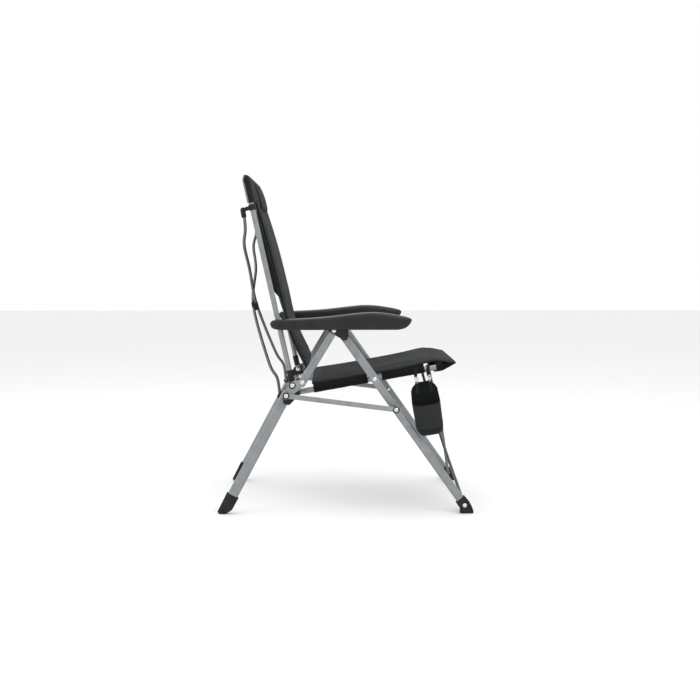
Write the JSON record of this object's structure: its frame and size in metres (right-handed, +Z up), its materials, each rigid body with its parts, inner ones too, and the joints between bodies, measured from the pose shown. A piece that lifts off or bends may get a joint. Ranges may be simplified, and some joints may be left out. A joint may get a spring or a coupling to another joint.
{
  "type": "folding camp chair",
  "caption": "Folding camp chair with oval tube legs, padded sling seat and reclining back, moulded armrests, crossed bracing rods and a hanging side pouch.",
  "frame": {"origin": "on the floor, midway between the feet, on the chair's middle plane", "axes": "+Z up, the sitter faces -Y, +X is the sitter's left"},
  "size_m": [0.6433, 0.82, 1.0779],
  "materials": {
    "tube_metal": "satin silver-grey powder coat",
    "plate_metal": "satin grey plate",
    "rivet_metal": "polished rivets",
    "arm_plastic": "black moulded, semi-gloss",
    "black_plastic": "black moulded",
    "boot_rubber": "black rubber",
    "seat_cloth": "slate woven cloth, black edge band",
    "back_cloth": "slate woven cloth, black edge band",
    "pouch_cloth": "black mesh and webbing"
  },
  "bodies": {
    "front_frame": {"front_leg_left": "tube_metal", "front_leg_right": "tube_metal", "front_foot_left": "boot_rubber", "front_foot_right": "boot_rubber", "foot_rivet_left": "rivet_metal", "foot_rivet_right": "rivet_metal", "seat_rivet_left": "rivet_metal", "seat_rivet_right": "rivet_metal", "stay_front_rivet_left": "rivet_metal", "stay_front_rivet_right": "rivet_metal", "arm_joint_rivet_left": "rivet_metal", "arm_joint_rivet_right": "rivet_metal"},
    "seat": {"seat_rail_left": "tube_metal", "seat_rail_right": "tube_metal", "seat_pad": "seat_cloth", "pouch_strap_front": "pouch_cloth", "pouch_strap_rear": "pouch_cloth"},
    "rear_frame": {"rear_leg_left": "tube_metal", "rear_leg_right": "tube_metal", "rear_foot_left": "boot_rubber", "rear_foot_right": "boot_rubber", "knuckle_plate_left": "plate_metal", "knuckle_plate_right": "plate_metal", "knuckle_block_left": "black_plastic", "knuckle_block_right": "black_plastic", "rail_rivet_left": "rivet_metal", "rail_rivet_right": "rivet_metal", "strut_rivet_left": "rivet_metal", "strut_rivet_right": "rivet_metal", "back_rivet_left": "rivet_metal", "back_rivet_right": "rivet_metal"},
    "stays": {"side_stay_left": "tube_metal", "side_stay_right": "tube_metal", "stay_back_rivet_left": "rivet_metal", "stay_back_rivet_right": "rivet_metal"},
    "struts": {"strut_left": "tube_metal", "strut_right": "tube_metal"},
    "arm_brackets": {"arm_bracket_left": "black_plastic", "arm_bracket_right": "black_plastic", "strut_top_rivet_left": "rivet_metal", "strut_top_rivet_right": "rivet_metal"},
    "back": {"upright_left": "tube_metal", "upright_right": "tube_metal", "brace_arm_left": "black_plastic", "brace_arm_right": "black_plastic", "brace_lug_left": "black_plastic", "brace_lug_right": "black_plastic", "back_cross_rod_left": "tube_metal", "back_cross_rod_right": "tube_metal", "back_cross_clamp": "black_plastic", "back_panel": "back_cloth", "head_pillow": "back_cloth", "arm_rivet_left": "rivet_metal", "arm_rivet_right": "rivet_metal"},
    "armrests": {"armrest_left": "arm_plastic", "armrest_right": "arm_plastic"},
    "front_cross": {"front_cross_rod_left": "tube_metal", "front_cross_rod_right": "tube_metal", "front_cross_clamp": "black_plastic"},
    "pouch": {"pouch": "pouch_cloth"}
  },
  "joints": [
    {"name": "seat_fold", "type": "hinge", "parent": "front_frame", "child": "seat", "pos_m": [0, -0.09294, 0.43275], "axis": [1, 0, 0], "range_deg": [0, 36]},
    {"name": "rear_leg_fold", "type": "hinge", "parent": "seat", "child": "rear_frame", "pos_m": [0, 0.15803, 0.38759], "axis": [-1, 0, 0], "range_deg": [0, 103.4]},
    {"name": "stay_fold", "type": "hinge", "parent": "front_frame", "child": "stays", "pos_m": [0, -0.16071, 0.33738], "axis": [1, 0, 0], "range_deg": [0, 23.4]},
    {"name": "strut_fold", "type": "hinge", "parent": "rear_frame", "child": "struts", "pos_m": [0, 0.13633, 0.42379], "axis": [1, 0, 0], "range_deg": [0, 125.4]},
    {"name": "arm_bracket_fold", "type": "hinge", "parent": "front_frame", "child": "arm_brackets", "pos_m": [0, 0.00438, 0.56969], "axis": [1, 0, 0], "range_deg": [0, 133.5]},
    {"name": "back_fold", "type": "hinge", "parent": "rear_frame", "child": "back", "pos_m": [0, 0.16803, 0.41449], "axis": [1, 0, 0], "range_deg": [0, 90.9]},
    {"name": "arm_fold", "type": "hinge", "parent": "back", "child": "armrests", "pos_m": [0, 0.2111, 0.60877], "axis": [1, 0, 0], "range_deg": [0, 20.5]},
    {"name": "front_cross_fold", "type": "hinge", "parent": "seat", "child": "front_cross", "pos_m": [0, -0.27009, 0.46462], "axis": [-1, 0, 0], "range_deg": [0, 43.3]},
    {"name": "pouch_hang", "type": "hinge", "parent": "seat", "child": "pouch", "pos_m": [0, -0.24609, 0.42062], "axis": [-1, 0, 0], "range_deg": [0, 36.5]}
  ],
  "couplings": [
    {"joint": "rear_leg_fold", "follows": "seat_fold", "ratio": 2.8583},
    {"joint": "stay_fold", "follows": "seat_fold", "ratio": 0.63611},
    {"joint": "strut_fold", "follows": "seat_fold", "ratio": 3.4694},
    {"joint": "arm_bracket_fold", "follows": "seat_fold", "ratio": 3.6944},
    {"joint": "back_fold", "follows": "seat_fold", "ratio": 2.5111},
    {"joint": "arm_fold", "follows": "seat_fold", "ratio": 0.55556},
    {"joint": "front_cross_fold", "follows": "seat_fold", "ratio": 1.1889},
    {"joint": "pouch_hang", "follows": "seat_fold", "ratio": 1}
  ]
}
